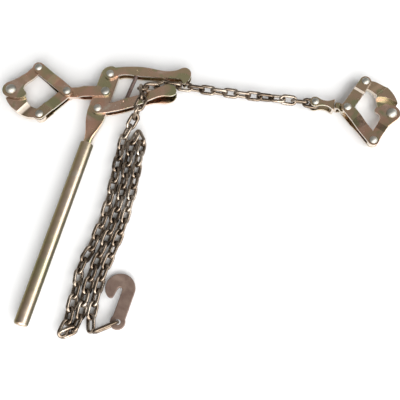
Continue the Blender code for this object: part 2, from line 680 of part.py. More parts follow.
def grip_clevis(look):
    """A strap bent into a U: its web takes the swivel pin and its cheeks close up round the grip's rivet."""
    at, heading = swivel_frame()
    start = FORK_LENGTH + CLEVIS_AHEAD
    far = start + CLEVIS_TO_RIVET
    inside = start + WEB_THICK
    line = [(far + 7, INNER_LEVEL), (far - 9.3, INNER_LEVEL), (inside + 2.4, 4.3), (inside + 0.6, 4.3),
            (inside, 3.7)]
    outer = [(start, 5.6), (start + 1.3, 6.9), (inside + 3.2, 6.9), (far - 9.1, INNER_LEVEL + STRAP_THICK),
             (far + 7, INNER_LEVEL + STRAP_THICK)]
    half_side = line + [(p[0], -p[1]) for p in line[::-1]]
    side = half_side + [(p[0], -p[1]) for p in outer[::-1]] + outer
    outline = [(start - 1, -4.8), (start + 6, -5.4), (far - 8, -7), (far + 9, -7), (far + 9, 7), (far - 8, 7),
               (start + 6, 5.4), (start - 1, 4.8)]
    clevis = bent("grip_clevis", outline, side, look, (*at, MID_Z), about_z(heading))
    drill(clevis, far, 0, RIVET_R + CLEAR)
    bore_along(clevis, at, heading, start - 1, inside + 1)


# ---------------------------------------------------------------- grab hook

def hook_frame():
    lean = Matrix.Rotation(math.radians(HOOK_LEAN), 3, "Z")
    return lean @ Matrix.Rotation(math.radians(-HOOK_DROP), 3, "X")


def hook_outline():
    """From the eye at the origin, y towards the bow: shank, bow, tip and the slot between."""
    bow = (HOOK_SHANK_HALF - HOOK_BOW_R, HOOK_SHANK)
    outside = arc(bow, HOOK_BOW_R, 0, 195, 24)
    tip = smooth([(-30.6, 35), (-27, 31), (-22.5, 29), (-19, 30), (-17.6, 33)], 3)
    slot = arc((-HOOK_SHANK_HALF - HOOK_SLOT_HALF, bow[1] - 2), HOOK_SLOT_HALF, 175, 0, 6)
    eye = arc((0, 0), HOOK_EYE_R, 145, 395, 20)
    return outside + tip + slot + eye


def grab_hook(look):
    hook = prism("grab_hook", hook_outline(), -HOOK_THICK / 2, HOOK_THICK / 2, look, HOOK_EYE, hook_frame())
    drill(hook, 0, 0, HOOK_HOLE_R)


def hook_link(look):
    """A long link on edge whose wire passes through the hook's eye. Its origin is at its far end."""
    spin = aim(LONG_LINK_ANGLE, 0, 90)
    points = [(x - LONG_LINK_END, y, z) for x, y, z in link_line(LONG_LINK_END, LINK_ARC_R + 0.3)]
    at = Vector(HOOK_EYE) + spin @ Vector((2 * LONG_LINK_END, 0, 0))
    swept("hook_link", points, [WIRE_R] * len(points), look, at, spin, sides=6, closed=True)


def build():
    clear_scene()
    zinc = material("yellow_zinc_steel", (0.36, 0.29, 0.20), 0.34)
    dome = material("bright_rivet", (0.55, 0.50, 0.44), 0.25)
    tube = material("handle_zinc", (0.42, 0.38, 0.25), 0.28)
    links = material("chain_zinc", (0.30, 0.23, 0.17), 0.33)
    dark = material("spring_steel", (0.10, 0.09, 0.08), 0.4)
    rust = material("hook_steel", (0.22, 0.14, 0.12), 0.6)

    lever_head(zinc)
    handle_tube(tube)
    pivot_rivets(dome)
    claw("upper_claw", (upper_claw_outline(), upper_claw_outline()), UPPER_PIVOT, UPPER_PIN, zinc)
    claw("lower_claw", (lower_claw_outline(), lower_claw_outline(heel=True)), LOWER_PIVOT, LOWER_PIN, zinc)
    spring_pin("upper_spring_pin", UPPER_PIVOT, UPPER_PIN, zinc)
    spring_pin("lower_spring_pin", LOWER_PIVOT, LOWER_PIN, zinc)
    claw_spring(dark)
    draw_links(zinc)
    wire_grip("left", draw_link_end(), LEFT_LONG_ANGLE, LEFT_SHORT_ANGLE, (zinc, dome))
    taut_chain(links)
    claw_chain(links)
    folded_chain(links)
    chain_fork(zinc)
    fork_rivet(dome)
    swivel_pin(dome)
    grip_clevis(zinc)
    wire_grip("right", right_swivel_at(), RIGHT_LONG_ANGLE, RIGHT_SHORT_ANGLE, (zinc, dome))
    grab_hook(rust)
    hook_link(links)


build()
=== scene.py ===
"""Looks of the chain wire strainer: finer pieces over its CAD frame, plated metal, a pale floor and soft light.

Everything is in metres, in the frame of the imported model.
"""

import json
import math

import bmesh
import bpy
import numpy as np
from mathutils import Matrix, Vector


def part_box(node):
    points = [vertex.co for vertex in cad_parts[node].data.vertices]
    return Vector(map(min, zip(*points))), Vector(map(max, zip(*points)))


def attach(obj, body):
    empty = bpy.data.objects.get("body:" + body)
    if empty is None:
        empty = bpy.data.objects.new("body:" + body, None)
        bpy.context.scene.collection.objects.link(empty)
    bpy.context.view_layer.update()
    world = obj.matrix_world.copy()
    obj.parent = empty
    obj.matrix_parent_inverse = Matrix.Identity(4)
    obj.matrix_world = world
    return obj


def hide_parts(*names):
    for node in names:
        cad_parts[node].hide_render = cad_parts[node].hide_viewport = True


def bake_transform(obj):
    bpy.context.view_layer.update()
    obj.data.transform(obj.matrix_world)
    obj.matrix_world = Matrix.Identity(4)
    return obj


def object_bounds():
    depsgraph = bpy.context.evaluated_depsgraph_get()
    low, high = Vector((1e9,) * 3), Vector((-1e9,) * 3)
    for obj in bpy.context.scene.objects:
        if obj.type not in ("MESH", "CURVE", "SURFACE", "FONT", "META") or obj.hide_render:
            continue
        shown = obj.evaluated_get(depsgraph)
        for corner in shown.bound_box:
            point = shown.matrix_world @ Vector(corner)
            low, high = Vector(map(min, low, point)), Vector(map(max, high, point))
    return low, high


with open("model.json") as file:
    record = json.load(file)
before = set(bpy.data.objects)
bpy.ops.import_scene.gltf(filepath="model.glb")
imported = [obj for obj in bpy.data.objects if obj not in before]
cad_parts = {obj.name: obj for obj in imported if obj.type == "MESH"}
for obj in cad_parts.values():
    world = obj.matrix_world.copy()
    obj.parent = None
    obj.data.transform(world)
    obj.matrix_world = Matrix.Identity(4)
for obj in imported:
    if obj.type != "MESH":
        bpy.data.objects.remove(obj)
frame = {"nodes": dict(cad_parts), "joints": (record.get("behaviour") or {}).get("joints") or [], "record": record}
CAD_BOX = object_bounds()
BODIES = frame["record"]["behaviour"]["bodies"]
BODY_OF = {node: body for body, nodes in BODIES.items() for node in nodes}
JOINTS = {joint["name"]: joint for joint in frame["joints"]}
SLOT_OF = {part["node"]: part["material_slot"] for part in frame["record"]["subparts"]}

MM = 0.001
Z_AXIS = Vector((0, 0, 1))

# Short welded links, as the CAD has them. The wire is a hair thinner, so that they pass at their limits.
WIRE_R = 2.47 * MM
LINK_PITCH = 18.1 * MM
LINK_END = 11.75 * MM       # link centre to the wire's centre line at its end
LINK_ARC_R = 6.0 * MM
LONG_LINK_END = 17.5 * MM   # the same two for the hook's long link
LONG_LINK_ARC_R = 6.3 * MM

# The folded spare chain: the middle strand's line as drawn in the part, whose drawing has its own origin
DRAWING_ORIGIN = Vector((-0.06, 22.04, 0)) * MM
MIDDLE_STRAND = ((-101, 104), (-105, 84), (-109.5, 56), (-116, 14), (-126, -30), (-140, -72),
                 (-150, -98), (-157, -124), (-163, -152), (-168.5, -182))
STRAND_STEP = 15.0 * MM
STRAY_AT_Y = -104 * MM      # where the left strand bulges, in the drawing
STRAY_BY = 4 * MM
STRAY_LONG = 14 * MM
STRAY_FOLD = Vector((-11, -7, 0)) * MM      # how far the foot of its fold lies off the others' line
CHAIN_LIES_AT = 7.05 * MM   # height of a link's centre when it lies at 45 degrees


# ---------------------------------------------------------------- camera, floor and light

AIM_AT = Vector((0.06, -22.01, 10)) * MM
VIEW_TILT = math.radians(71)        # above the bench
VIEW_AWAY = 0.892
LENS = 54.6


def make_camera():
    """A view from high above the bench, square on to the tight chain."""
    data = bpy.data.cameras.new("view")
    data.sensor_width = 36
    data.lens = LENS
    data.clip_end = 20
    camera = bpy.data.objects.new("view", data)
    camera.location = AIM_AT + VIEW_AWAY * Vector((0, -math.cos(VIEW_TILT), math.sin(VIEW_TILT)))
    camera.rotation_euler = (math.radians(90) - VIEW_TILT, 0, 0)
    bpy.context.scene.collection.objects.link(camera)
    bpy.context.scene.camera = camera


def area_light(name, place, size, watts):
    """A rectangle of light that faces the object."""
    data = bpy.data.lights.new(name, "AREA")
    data.shape = "RECTANGLE"
    data.size, data.size_y = size
    data.energy = watts
    light = bpy.data.objects.new(name, data)
    light.location = place
    light.rotation_euler = (-Vector(place)).to_track_quat("-Z", "Y").to_euler()
    bpy.context.scene.collection.objects.link(light)


FLOOR_HALF = 6
FLOOR_GAP = 0.3 * MM
FLOOR_GREY = 0.84


def make_floor():
    """A plain pale sheet, just under the object's lowest point."""
    work = bmesh.new()
    bmesh.ops.create_grid(work, x_segments=8, y_segments=8, size=FLOOR_HALF)
    mesh = bpy.data.meshes.new("floor")
    work.to_mesh(mesh)
    work.free()
    floor = bpy.data.objects.new("floor", mesh)
    floor.location = (0, 0, CAD_BOX[0].z - FLOOR_GAP)
    bpy.context.scene.collection.objects.link(floor)
    made = bpy.data.materials.new("floor_paper")
    made.use_nodes = True
    shader = made.node_tree.nodes["Principled BSDF"]
    shader.inputs["Base Color"].default_value = (FLOOR_GREY, FLOOR_GREY, FLOOR_GREY, 1)
    shader.inputs["Roughness"].default_value = 0.9
    mesh.materials.append(made)


# How bright the room is from the front (0) over the top (0.5) to the back (1)
ROOM = ((0.0, 0.55), (0.3, 0.75), (0.4, 0.3), (0.5, 0.03), (0.62, 0.2), (0.74, 0.46), (0.84, 0.75),
        (0.96, 0.35))
ROOM_TINT = (1, 0.99, 0.975)
WINDOW_ANGLE = math.radians(56)
WINDOW_STRENGTH = 2.4
WINDOW_SHINES = Vector((-0.34, 0.9, -0.66))


def make_light():
    """A room that is dark overhead, a broad window in front, and two soft boxes."""
    world = bpy.data.worlds.new("studio")
    world.use_nodes = True
    nodes, links = world.node_tree.nodes, world.node_tree.links
    room = nodes.new("ShaderNodeTexCoord")
    split = nodes.new("ShaderNodeSeparateXYZ")
    links.new(room.outputs["Generated"], split.inputs["Vector"])
    place = nodes.new("ShaderNodeMapRange")
    place.inputs["From Min"].default_value = -1
    links.new(split.outputs["Y"], place.inputs["Value"])
    walls = nodes.new("ShaderNodeValToRGB")
    set_stops(walls.color_ramp, [(at, [bright * part for part in ROOM_TINT]) for at, bright in ROOM])
    links.new(place.outputs["Result"], walls.inputs["Fac"])
    links.new(walls.outputs["Color"], nodes["Background"].inputs["Color"])
    bpy.context.scene.world = world
    data = bpy.data.lights.new("window", "SUN")
    data.angle = WINDOW_ANGLE
    data.energy = WINDOW_STRENGTH
    sun = bpy.data.objects.new("window", data)
    sun.rotation_euler = WINDOW_SHINES.to_track_quat("-Z", "Y").to_euler()
    bpy.context.scene.collection.objects.link(sun)
    area_light("front_box", (0.1, -1.8, 0.9), size=(3.2, 1.5), watts=46)
    area_light("side_box", (1.7, -0.2, 1.0), size=(1.1, 1.4), watts=24)
    bpy.context.scene.view_settings.view_transform = "Standard"


# ---------------------------------------------------------------- materials

def set_stops(ramp, tones):
    """Gives a colour ramp its (place, colour) stops."""
    ramp.interpolation = "B_SPLINE"
    while len(ramp.elements) < len(tones):
        ramp.elements.new(0.5)
    for stop, (at, colour) in zip(ramp.elements, tones):
        stop.position = at
        stop.color = (*colour, 1)


FINE_SHARE = 0.22           # how much of a tone's drift comes from the finer noise
GRAIN_SCALE = 900
# Where each tint begins and is full, and how strong it is at both ends. The first two go by a noise, and
# the last two by how level the surface is: 0 on an upright side and 1 on a level face.
FILM_SPREAD = (0.54, 0.59, 0, 0.65)
BLUSH_SPREAD = (0.55, 0.66, 0, 0.6)
# painted highlight: upright sides, such as the plates' cut edges, are painted paler for the light they catch
PAINTED_EDGE_SPREAD = (0.2, 0.7, 0.8, 0.0)
# painted highlight: this tint and the metal table below paint faces that aren't level paler, and the slopes less
# metallic, for the light they catch
PAINTED_SLOPE_SPREAD = (0.955, 0.985, 0.85, 0.0)
PAINTED_SLOPE_METAL = ((0.6, 1.0), (0.75, 0.45), (0.955, 0.45), (0.985, 1.0))     # (how level, how metallic)


def plated(name, tones, patch, roughness, grain=0.03 * MM, stretch=(1, 1, 1), metallic=1.0, film=None,
           blush=None, painted_edge_highlight=None, painted_slope_highlight=None, painted_round_shading=None):
    """A thin plated film: drifting tones, firm-edged patches, cloudy gloss and a fine grain.

    tones are (place, colour) stops, patch is how many patches there are to a metre, roughness is its least
    and its greatest, and grain is the grain's depth. film is the colour of the patches where the plating is
    thicker, and blush that of the redder patches. painted_edge_highlight is a painted highlight: a pale colour
    on upright sides, such as a plate's cut edges, for the light they catch. painted_slope_highlight is a
    painted highlight: a pale colour on faces that aren't level, with less metal on the slopes, for the light
    they catch. painted_round_shading is (direction, stops): painted shade and a painted highlight that go round
    a bar, from the side away from the direction to the side towards it.
    """
    made = bpy.data.materials.new(name)
    made.use_nodes = True
    nodes, links = made.node_tree.nodes, made.node_tree.links
    shader = nodes["Principled BSDF"]
    shader.inputs["Metallic"].default_value = metallic
    place = nodes.new("ShaderNodeTexCoord")
    scaled = nodes.new("ShaderNodeMapping")
    scaled.inputs["Scale"].default_value = stretch
    links.new(place.outputs["Object"], scaled.inputs["Vector"])

    def noise(scale, detail, rough=0.55, distort=0.0):
        made_noise = nodes.new("ShaderNodeTexNoise")
        made_noise.inputs["Scale"].default_value = scale
        made_noise.inputs["Detail"].default_value = detail
        made_noise.inputs["Roughness"].default_value = rough
        made_noise.inputs["Distortion"].default_value = distort
        links.new(scaled.outputs["Vector"], made_noise.inputs["Vector"])
        return made_noise.outputs["Fac"]

    def spread(value, low, high, out_low=0.0, out_high=1.0):
        made_range = nodes.new("ShaderNodeMapRange")
        for key, amount in zip(("From Min", "From Max", "To Min", "To Max"), (low, high, out_low, out_high)):
            made_range.inputs[key].default_value = amount
        links.new(value, made_range.inputs["Value"])
        return made_range.outputs["Result"]

    def colour_mix(factor, one, two):
        mixed = nodes.new("ShaderNodeMix")
        mixed.data_type = "RGBA"
        links.new(factor, mixed.inputs["Factor"])
        links.new(one, mixed.inputs[6])
        mixed.inputs[7].default_value = (*two, 1)
        return mixed.outputs[2]

    blend = nodes.new("ShaderNodeMix")
    blend.inputs["Factor"].default_value = FINE_SHARE
    links.new(noise(patch, 3.0, 0.5, 0.6), blend.inputs["A"])
    links.new(noise(patch * 14, 4.0, 0.65), blend.inputs["B"])
    ramp = nodes.new("ShaderNodeValToRGB")
    set_stops(ramp.color_ramp, tones)
    links.new(blend.outputs["Result"], ramp.inputs["Fac"])
    colour = ramp.outputs["Color"]
    if film:
        colour = colour_mix(spread(noise(patch * 1.3, 1.0, 0.4, 0.3), *FILM_SPREAD), colour, film)
    if blush:
        colour = colour_mix(spread(noise(patch * 0.8, 2.0, 0.5, 0.2), *BLUSH_SPREAD), colour, blush)
    # painted highlight: upright sides are mixed towards a pale colour by how upright they are
    if painted_edge_highlight:
        upright = nodes.new("ShaderNodeSeparateXYZ")
        links.new(place.outputs["Normal"], upright.inputs["Vector"])
        flat = nodes.new("ShaderNodeMath")
        flat.operation = "ABSOLUTE"
        links.new(upright.outputs["Z"], flat.inputs[0])
        colour = colour_mix(spread(flat.outputs["Value"], *PAINTED_EDGE_SPREAD), colour, painted_edge_highlight)
        # painted highlight: faces that aren't level are mixed towards a pale colour, and the slopes made less
        # metallic
        if painted_slope_highlight:
            colour = colour_mix(spread(flat.outputs["Value"], *PAINTED_SLOPE_SPREAD), colour, painted_slope_highlight)
            slope_metal = nodes.new("ShaderNodeValToRGB")
            set_stops(slope_metal.color_ramp, [(at, (metal,) * 3) for at, metal in PAINTED_SLOPE_METAL])
            slope_metal.color_ramp.interpolation = "LINEAR"
            links.new(flat.outputs["Value"], slope_metal.inputs["Fac"])
            links.new(slope_metal.outputs["Color"], shader.inputs["Metallic"])
    # painted shade and painted highlight round a bar: its colour is multiplied by a ramp over which way the
    # surface faces
    if painted_round_shading:
        facing = nodes.new("ShaderNodeVectorMath")
        facing.operation = "DOT_PRODUCT"
        links.new(place.outputs["Normal"], facing.inputs[0])
        facing.inputs[1].default_value = painted_round_shading[0]
        round_ramp = nodes.new("ShaderNodeValToRGB")
        set_stops(round_ramp.color_ramp, painted_round_shading[1])
        links.new(spread(facing.outputs["Value"], -1, 1), round_ramp.inputs["Fac"])
        tinted = nodes.new("ShaderNodeMix")
        tinted.data_type = "RGBA"
        tinted.blend_type = "MULTIPLY"
        tinted.inputs["Factor"].default_value = 1
        links.new(colour, tinted.inputs[6])
        links.new(round_ramp.outputs["Color"], tinted.inputs[7])
        colour = tinted.outputs[2]
    links.new(colour, shader.inputs["Base Color"])
    links.new(spread(noise(patch * 5, 3.0, 0.6), 0.3, 0.7, *roughness), shader.inputs["Roughness"])

    bump = nodes.new("ShaderNodeBump")
    bump.inputs["Strength"].default_value = 0.5
    bump.inputs["Distance"].default_value = grain
    links.new(noise(GRAIN_SCALE, 3.0, 0.6), bump.inputs["Height"])
    links.new(bump.outputs["Normal"], shader.inputs["Normal"])
    return made


OLIVE = (0.37, 0.325, 0.175)
BROWN = (0.46, 0.345, 0.225)
BRONZE = (0.50, 0.345, 0.235)
PINK = (0.57, 0.365, 0.28)
GREY = (0.66, 0.59, 0.47)

# Painted shade and a painted highlight round the handle tube: dark olive on the side away from ACROSS_TUBE, a pale
# band towards it, and a dark far edge
ACROSS_TUBE = (0.964, -0.266, 0.0)
TUBE_PAINTED_SHADING = ((0.02, (0.24, 0.25, 0.11)), (0.2, (0.33, 0.32, 0.17)), (0.42, (0.56, 0.50, 0.40)),
              (0.62, (0.85, 0.82, 0.74)), (0.84, (0.80, 0.81, 0.76)), (0.95, (0.24, 0.25, 0.18)),
              (1.0, (0.12, 0.13, 0.08)))

# The plates' plated tones, with a painted highlight on their upright sides
PLATE = {"tones": ((0.30, OLIVE), (0.42, BROWN), (0.52, BRONZE), (0.60, PINK), (0.70, GREY)), "patch": 30,
         "roughness": (0.17, 0.28), "film": (0.31, 0.33, 0.17), "blush": (0.60, 0.33, 0.23),
         "painted_edge_highlight": (0.78, 0.73, 0.66)}

LOOKS = {
    "yellow_zinc_steel": plated("zinc_plate", **PLATE),
    # the same plates with a painted highlight on their slopes as well
    "painted_slope_plate": plated("zinc_plate_painted_slopes", painted_slope_highlight=(0.80, 0.70, 0.60), **PLATE),
    "bright_rivet": plated("rivet_zinc", ((0.3, (0.28, 0.28, 0.25)), (0.5, (0.39, 0.38, 0.34)),
                                          (0.7, (0.52, 0.50, 0.45))), 60, (0.46, 0.56)),
    # the tube's tones, with painted shade and a painted highlight round it
    "handle_zinc": plated("tube_zinc", ((0.32, (0.60, 0.58, 0.42)), (0.44, (0.72, 0.60, 0.48)),
                                        (0.55, (0.80, 0.64, 0.57)), (0.66, (0.72, 0.76, 0.74))),
                          20, (0.34, 0.44), stretch=(0.1, 0.8, 0.1), painted_round_shading=(ACROSS_TUBE, TUBE_PAINTED_SHADING)),
    "chain_zinc": plated("link_zinc", ((0.3, (0.08, 0.06, 0.042)), (0.45, (0.17, 0.127, 0.092)),
                                       (0.58, (0.31, 0.25, 0.195)), (0.72, (0.58, 0.53, 0.46))),
                         45, (0.18, 0.32)),
    "spring_steel": plated("spring_wire", ((0.35, (0.15, 0.11, 0.10)), (0.65, (0.36, 0.26, 0.23))),
                           80, (0.35, 0.5)),
    "hook_steel": plated("hook_metal", ((0.32, (0.135, 0.085, 0.068)), (0.5, (0.195, 0.135, 0.105)),
                                        (0.68, (0.27, 0.195, 0.155))), 60, (0.5, 0.7), grain=0.12 * MM,
                         metallic=0.4),
}


# ---------------------------------------------------------------- pieces

def piece(name, mesh_work, node, rides=True, smooth_below=50, look=None):
    """A finished mesh that stands for a CAD node. It looks as the node's slot does, or as look says."""
    bmesh.ops.recalc_face_normals(mesh_work, faces=mesh_work.faces)
    mesh = bpy.data.meshes.new(name)
    mesh_work.to_mesh(mesh)
    mesh_work.free()
    mesh.shade_smooth()
    mesh.set_sharp_from_angle(angle=math.radians(smooth_below))
    made = bpy.data.objects.new(name, mesh)
    bpy.context.scene.collection.objects.link(made)
    mesh.materials.append(LOOKS[look or SLOT_OF[node]])
    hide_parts(node)
    if rides:
        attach(made, BODY_OF[node])
    return made


def cad_points(node):
    """The CAD node's vertices, one a row."""
    mesh = frame["nodes"][node].data
    flat = np.empty(len(mesh.vertices) * 3)
    mesh.vertices.foreach_get("co", flat)
    return flat.reshape(-1, 3)


SAME_POINT = 0.002 * MM
SAME_FLAT = math.radians(0.6)
SIDE_BENDS_FROM = 38        # degrees
LEVEL_FROM = 0.5            # a face's normal has at least this much of Z


def refined(node, width, bends_from=3, look=None):
    """The CAD node's own shape with clean flats and softened edges.

    bends_from is the least angle in degrees at which two upper or lower faces meet in a bend that shows.
    """
    work = bmesh.new()
    work.from_mesh(frame["nodes"][node].data)
    bmesh.ops.remove_doubles(work, verts=work.verts, dist=SAME_POINT)
    bmesh.ops.dissolve_limit(work, angle_limit=SAME_FLAT, verts=work.verts, edges=work.edges)
    work.normal_update()
    weight = work.edges.layers.float.new("bevel_weight_edge")
    for line in work.edges:
        level = all(abs(face.normal.z) > LEVEL_FROM for face in line.link_faces)
        if math.degrees(line.calc_face_angle(0)) > (bends_from if level else SIDE_BENDS_FROM):
            line[weight] = 1
    made = piece(node + "_fine", work, node, smooth_below=30, look=look)
    edge = made.modifiers.new("Edges", "BEVEL")
    edge.width = width
    edge.segments = 3
    edge.limit_method = "WEIGHT"
    edge.miter_outer = "MITER_ARC"
    edge.use_clamp_overlap = True
    flats = made.modifiers.new("Flats", "WEIGHTED_NORMAL")
    flats.keep_sharp = True
    return made


ON_AXIS = 0.0001 * MM       # a profile point this near the axis is one point, not a ring


def lathe(work, profile, centre, axis=Z_AXIS, sides=48):
    """Turns a profile of (radius, height) points about an axis through the centre."""
    turn = axis.to_track_quat("Z", "X").to_matrix()
    rings = []
    for radius, height in profile:
        count = sides if radius > ON_AXIS else 1
        rings.append([work.verts.new(Vector(centre) + turn @ Vector((
            radius * math.cos(2 * math.pi * k / sides), radius * math.sin(2 * math.pi * k / sides), height)))
            for k in range(count)])
    for one, two in zip(rings, rings[1:]):
        for k in range(sides):
            m = (k + 1) % sides
            corners = [one[k % len(one)], one[m % len(one)], two[m % len(two)], two[k % len(two)]]
            work.faces.new(dict.fromkeys(corners))


CORNER_STEPS = 4
CORNER_REACH = 0.45         # most of a straight stretch that one corner's arc may take up


def rounded(profile, radius):
    """The profile with each of its inner corners drawn as a small arc."""
    out = [Vector(profile[0])]
    for before, corner, after in zip(profile, profile[1:], profile[2:]):
        before, corner, after = Vector(before), Vector(corner), Vector(after)
        cut = min(radius, (corner - before).length * CORNER_REACH, (after - corner).length * CORNER_REACH)
        start = corner + (before - corner).normalized() * cut
        end = corner + (after - corner).normalized() * cut
        for i in range(CORNER_STEPS + 1):
            t = i / CORNER_STEPS
            out.append(start.lerp(corner, t).lerp(corner.lerp(end, t), t))
    return [tuple(p) for p in out + [Vector(profile[-1])]]


RIM = 0.98                  # points this near a rivet's full reach are on its rim
SHANK_SHARE = 0.62          # of the tail's radius
DOME_STEPS = 14


def rivet(node):
    """A domed head, a shank and a flat tail, with sizes read from the CAD node."""
    points = cad_points(node)
    low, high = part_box(node)
    centre = (low + high) / 2
    reach = np.hypot(points[:, 0] - centre.x, points[:, 1] - centre.y)
    upper = points[:, 2] > centre.z
    dome_r, tail_r = reach[upper].max(), reach[~upper].max()
    seat = points[upper & (reach > RIM * dome_r), 2].max()
    tail_seat = points[~upper & (reach > RIM * tail_r), 2].max()
    high_dome = high.z - seat
    ball = (dome_r ** 2 + high_dome ** 2) / (2 * high_dome)
    cap = math.asin(min(1, dome_r / ball))
    if high_dome > dome_r:
        cap = math.pi - cap
    dome = []
    for i in range(1, DOME_STEPS):
        angle = cap * (1 - i / DOME_STEPS)
        dome.append((ball * math.sin(angle), high.z - ball + ball * math.cos(angle)))
    shank = SHANK_SHARE * tail_r
    foot = [(0, low.z), (shank, low.z), (tail_r, tail_seat - 0.6 * MM), (tail_r, tail_seat),
            (shank, tail_seat), (shank, seat), (dome_r, seat), (dome_r * 0.998, seat + 0.35 * MM)]
    work = bmesh.new()
    lathe(work, rounded(foot, 0.3 * MM) + dome + [(0, high.z)], (centre.x, centre.y, 0))
    return piece(node + "_fine", work, node)


def spring_pin(node):
    """A rolled pin, flush with the plates, with a small hollow in each end."""
    low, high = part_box(node)
    centre = (low + high) / 2
    r, hollow = (high.x - low.x) / 2, 0.9 * MM
    brim, deep = 0.62 * r, 0.4 * r      # radii where the hollow begins and where it is nearly full depth
    profile = [(0, low.z + hollow), (deep, low.z + 0.8 * hollow), (brim, low.z), (r, low.z), (r, high.z),
               (brim, high.z), (deep, high.z - 0.8 * hollow), (0, high.z - hollow)]
    work = bmesh.new()
    lathe(work, rounded(profile, 0.2 * MM), (centre.x, centre.y, 0), sides=32)
    return piece(node + "_fine", work, node)


def own_axes(points):
    """Centre, and the directions of greatest, middle and least spread."""
    _, _, rows = np.linalg.svd(points - points.mean(0), full_matrices=False)
    middles = [((points @ row).max() + (points @ row).min()) / 2 for row in rows]
    centre = sum(row * middle for row, middle in zip(rows, middles))
    return Vector(centre), *(Vector(row) for row in rows)


ARC_STEPS = 9
FLAT_STEPS = 5
WELD_SWELL = 0.05           # of the wire's radius


def link_line(end, bend):
    """Points round a link's centre line in its own plane."""
    flat = end - bend
    out = []
    for side, start in ((1, -90), (-1, 90)):
        for i in range(ARC_STEPS + 1):
            a = math.radians(start + 180 * i / ARC_STEPS)
            out.append((side * flat + bend * math.cos(a), bend * math.sin(a)))
        for i in range(1, FLAT_STEPS):
            out.append((side * flat * (1 - 2 * i / FLAT_STEPS), side * bend))
    return out


def add_link(work, centre, along, across, normal, end=LINK_END, bend=LINK_ARC_R, sides=12):
    """One welded link: a round wire with the weld's low swelling on one side."""
    line = link_line(end, bend)
    count = len(line)
    weld_at = Vector((0, -bend))
    rings = []
    for i, (x, y) in enumerate(line):
        bx, by = line[i - 1]
        ax, ay = line[(i + 1) % count]
        ahead = Vector((ax - bx, ay - by)).normalized()
        out = Vector((ahead.y, -ahead.x))
        from_weld = (Vector((x, y)) - weld_at).length
        r = WIRE_R * (1 + WELD_SWELL * math.exp(-(from_weld / (0.9 * WIRE_R)) ** 2))
        ring = []
        for k in range(sides):
            a = 2 * math.pi * k / sides
            flat_x = x + out.x * r * math.cos(a)
            flat_y = y + out.y * r * math.cos(a)
            ring.append(work.verts.new(centre + along * flat_x + across * flat_y + normal * r * math.sin(a)))
        rings.append(ring)
    for i in range(count):
        one, two = rings[i], rings[(i + 1) % count]
        for k in range(sides):
            m = (k + 1) % sides
            work.faces.new((one[k], one[m], two[m], two[k]))


def single_link(node, **sizes):
    """A link where its CAD node lies."""
    centre, along, across, normal = own_axes(cad_points(node))
    work = bmesh.new()
    add_link(work, centre, along, across, normal, sides=16, **sizes)
    return piece(node + "_fine", work, node, smooth_below=60)


# ---------------------------------------------------------------- folded chain

CURVE_STEPS = 6
FOLD_STEPS = 8


def smooth_line(points):
    """An open Catmull-Rom curve through the points."""
    knots = [Vector(p) for p in points]
    knots = [2 * knots[0] - knots[1], *knots, 2 * knots[-1] - knots[-2]]
    out = []
    for a, b, c, d in zip(knots, knots[1:], knots[2:], knots[3:]):
        for i in range(CURVE_STEPS):
            t = i / CURVE_STEPS
            out.append(0.5 * (2 * b + (c - a) * t + (2 * a - 5 * b + 4 * c - d) * t ** 2
                              + (3 * b - a - 3 * c + d) * t ** 3))
    return out + [knots[-2]]


def strand(offset, stray=0.0):
    """The middle strand's line moved sideways, from its upper end to its foot. It can stray at one spot."""
    line = smooth_line([(x * MM, y * MM, 0) for x, y in MIDDLE_STRAND])
    out = []
    for i, p in enumerate(line):
        ahead = (line[min(i + 1, len(line) - 1)] - line[max(i - 1, 0)]).normalized()
        side = Vector((-ahead.y, ahead.x, 0))
        near = math.exp(-((p.y - STRAY_AT_Y) / STRAY_LONG) ** 2)
        out.append(p + side * (offset - stray * near) - DRAWING_ORIGIN + Z_AXIS * CHAIN_LIES_AT)
    return out


def fold(start, end, beyond):
    """A half turn from one strand's end to the next one's, whose far point is beyond the middle of both."""
    middle = (start + end) / 2
    half = (start - end) / 2
    turns = [math.pi * i / FOLD_STEPS for i in range(1, FOLD_STEPS)]
    return [middle + half * math.cos(a) + beyond * math.sin(a) for a in turns]


def spare_chain_route():
    """From the last slack link down, up and down again, to the long link of the hook."""
    left, middle, right = strand(-STRAND_STEP, STRAY_BY), strand(0), strand(STRAND_STEP)
    bend_r = STRAND_STEP / 2
    down = (middle[-1] - middle[-4]).normalized()
    up = (middle[0] - middle[3]).normalized()
    centre, along, _, _ = own_axes(cad_points("slack_link_6"))
    along = along if along.z < 0 else -along
    lead = [centre + along * (LINK_END - 2 * WIRE_R)]
    hook_end = Vector(JOINTS["hook_link_swing"]["pos_m"])
    tail = [right[-1].lerp(hook_end, 0.5) - Vector((0, 1.5, 0.6)) * MM, hook_end]
    knots = lead + left[2:-1:3] + [left[-1]] + fold(left[-1], middle[-1], down * bend_r + STRAY_FOLD)
    knots += [middle[-1]] + middle[-4:0:-3] + [middle[0]] + fold(middle[0], right[0], up * bend_r)
    knots += [right[0]] + right[3:-2:3] + tail
    return smooth_line(knots)


HALVINGS = 24


def walk(line, pitch):
    """Points along the line, each one a straight pitch from the one before."""
    out = [line[0]]
    for one, two in zip(line, line[1:]):
        while (two - out[-1]).length >= pitch:
            low, high = 0.0, 1.0
            for _ in range(HALVINGS):
                t = (low + high) / 2
                if (one.lerp(two, t) - out[-1]).length < pitch:
                    low = t
                else:
                    high = t
            out.append(one.lerp(two, high))
    return out


LINK_ROLL = 45              # degrees, one way and then the other
ROLL_STRAY = 5              # and up to this much off, from link to link


